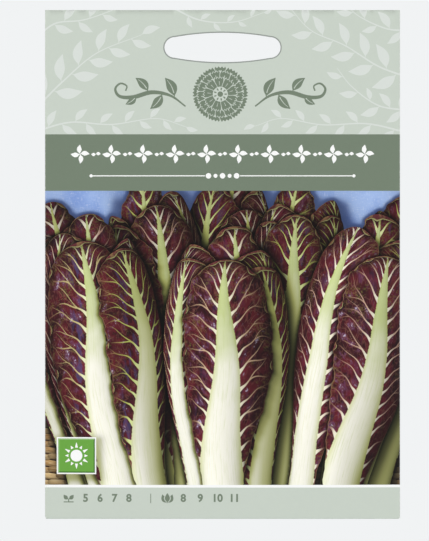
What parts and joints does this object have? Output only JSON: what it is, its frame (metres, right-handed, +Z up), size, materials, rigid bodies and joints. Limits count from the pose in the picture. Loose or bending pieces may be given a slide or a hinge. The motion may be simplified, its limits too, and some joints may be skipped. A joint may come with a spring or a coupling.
{
  "type": "seed packet",
  "caption": "Flat printed paper seed packet with a domed hanging slot in its glued header, closed round a foil sachet of chicory seeds.",
  "frame": {"origin": "middle of the hanging slot's top edge, midway through the glued header, where a display hook carries the packet", "axes": "+Z up along the packet's height, +X to the right of someone facing the front, and the front faces -Y"},
  "size_m": [0.096, 0.0044, 0.1376],
  "materials": {
    "printed_paper": "satin",
    "foil": "satin",
    "seed": "matte"
  },
  "bodies": {
    "root": {"paper_packet": "printed_paper", "foil_sachet": "foil", "chicory_seeds": "seed"}
  },
  "joints": []
}
